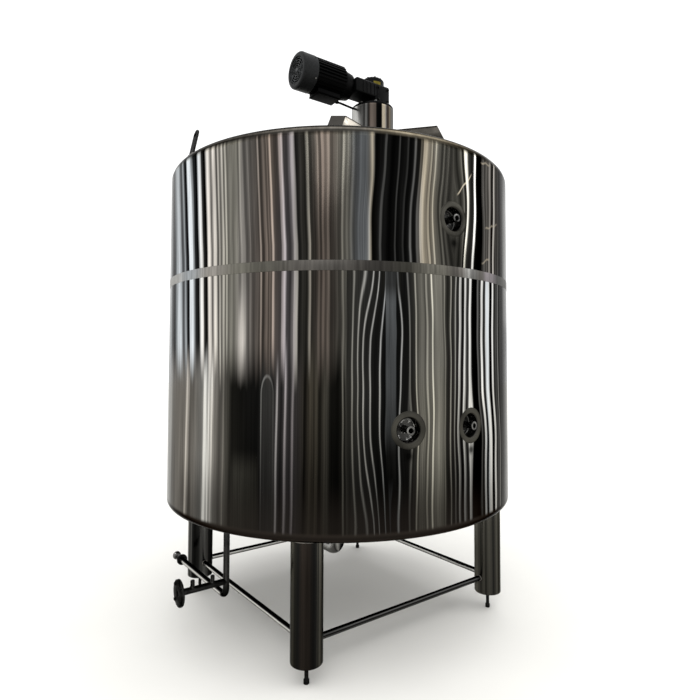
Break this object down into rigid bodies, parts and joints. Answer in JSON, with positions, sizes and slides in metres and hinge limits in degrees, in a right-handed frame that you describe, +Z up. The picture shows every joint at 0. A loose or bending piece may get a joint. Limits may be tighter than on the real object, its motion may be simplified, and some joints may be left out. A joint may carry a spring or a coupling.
{
  "type": "jacketed mixing tank",
  "caption": "Upright round insulated stainless mixing tank on pipe legs with tie bars, recessed side ports, jacket pipework, bottom outlet, manway and a right-angle gearmotor on the roof.",
  "frame": {"origin": "on the vessel's axis at floor level", "axes": "+Z up, -Y towards the side with the ports, -X towards the motor and the jacket's inlet flange"},
  "size_m": [2.162, 2.1419, 3.391],
  "materials": {
    "mirror_steel": "mirror polished stainless",
    "satin_steel": "satin stainless",
    "pipe_steel": "drawn stainless pipe",
    "motor_black": "semi-gloss black",
    "cowl_grey": "semi-matt graphite",
    "gearbox_green": "semi-gloss dark green"
  },
  "bodies": {
    "root": {"lower_cladding": "mirror_steel", "upper_cladding": "mirror_steel", "roof": "mirror_steel", "pedestal": "mirror_steel", "manway_neck": "mirror_steel", "manway_lid": "mirror_steel", "roof_rib_left": "mirror_steel", "roof_rib_right": "mirror_steel", "roof_rib_rear": "mirror_steel", "leg_front_left": "mirror_steel", "leg_front_right": "mirror_steel", "leg_rear_right": "mirror_steel", "leg_rear_left": "mirror_steel", "seam_band": "satin_steel", "bottom": "satin_steel", "bottom_cone": "satin_steel", "port_lower_left": "satin_steel", "port_lower_right": "satin_steel", "port_upper": "satin_steel", "foot_front_left": "satin_steel", "foot_front_right": "satin_steel", "foot_rear_right": "satin_steel", "foot_rear_left": "satin_steel", "tie_bar_front": "satin_steel", "tie_bar_right": "satin_steel", "tie_bar_rear": "satin_steel", "tie_bar_left": "satin_steel", "run_ferrule": "satin_steel", "run_clamp": "satin_steel", "outlet_ferrule": "satin_steel", "lifting_lug_left": "satin_steel", "lifting_lug_right": "satin_steel", "port_nipple_lower_left": "pipe_steel", "port_nipple_lower_right": "pipe_steel", "port_nipple_upper": "pipe_steel", "jacket_drop_pipe": "pipe_steel", "branch_pipe": "pipe_steel", "branch_flange": "pipe_steel", "outlet_elbow": "pipe_steel", "motor_adapter": "motor_black", "motor_body": "motor_black", "terminal_box": "motor_black", "motor_conduit": "motor_black", "fan_cowl": "cowl_grey", "pedestal_flange": "gearbox_green", "gearbox_housing": "gearbox_green", "gearbox_cover": "gearbox_green"}
  },
  "joints": []
}
